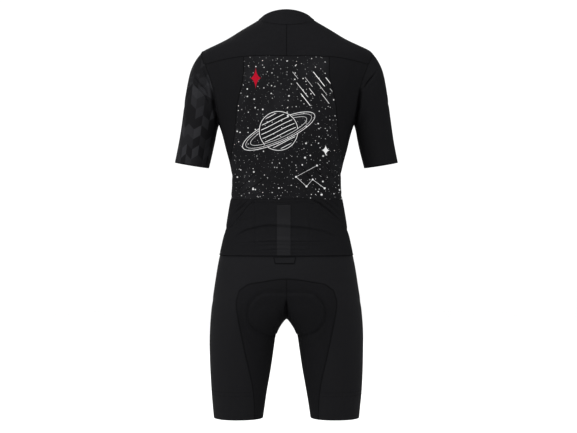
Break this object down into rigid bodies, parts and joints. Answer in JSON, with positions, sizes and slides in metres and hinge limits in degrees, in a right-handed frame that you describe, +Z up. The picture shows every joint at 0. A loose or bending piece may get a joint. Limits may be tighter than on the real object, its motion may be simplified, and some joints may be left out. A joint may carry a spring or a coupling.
{
  "type": "roadsuit",
  "caption": "Short-sleeved one-piece cycling suit with a stand collar, front zip, rear pockets and gripper leg hems, filled out as worn.",
  "frame": {"origin": "middle of the base of the neck, level with the side neck points, where the wearer's shoulders carry the suit", "axes": "+Z up, the front faces -Y and the back +Y, +X is the wearer's left"},
  "size_m": [0.5262, 0.2359, 0.9522],
  "materials": {
    "black_knit": "matt stretch knit",
    "printed_knit": "matt stretch knit with a printed night-sky design",
    "patterned_sleeve_knit": "stretch knit with a tone-on-tone geometric pattern",
    "sleeve_knit": "smooth stretch knit",
    "shorts_knit": "dense stretch knit with a faint sheen",
    "gripper_elastic": "ribbed elastic",
    "reflective_film": "satin grey reflective film",
    "label_cloth": "woven label cloth",
    "zip_tape": "woven tape",
    "zip_teeth": "satin nylon",
    "slider_metal": "black lacquer"
  },
  "bodies": {
    "suit": {"collar": "black_knit", "yoke_left": "black_knit", "yoke_right": "black_knit", "back_panel": "printed_knit", "side_panel_left": "black_knit", "side_panel_right": "black_knit", "front_left": "black_knit", "front_right": "black_knit", "sleeve_left": "patterned_sleeve_knit", "sleeve_right": "sleeve_knit", "lower_back": "black_knit", "pocket_panel": "black_knit", "reflective_strip": "reflective_film", "waist_label": "label_cloth", "hip_panel": "shorts_knit", "seat_left": "shorts_knit", "seat_right": "shorts_knit", "shorts_front_left": "shorts_knit", "shorts_front_right": "shorts_knit", "leg_gripper_left": "gripper_elastic", "leg_gripper_right": "gripper_elastic", "zip_tape_left": "zip_tape", "zip_tape_right": "zip_tape", "zip_teeth": "zip_teeth", "zip_slider": "slider_metal"},
    "pull": {"zip_pull": "slider_metal"}
  },
  "joints": [
    {"name": "zip_pull_turn", "type": "hinge", "parent": "suit", "child": "pull", "pos_m": [0, -0.06196, -0.04145], "axis": [-1, 0, 0], "range_deg": [0, 160]}
  ]
}
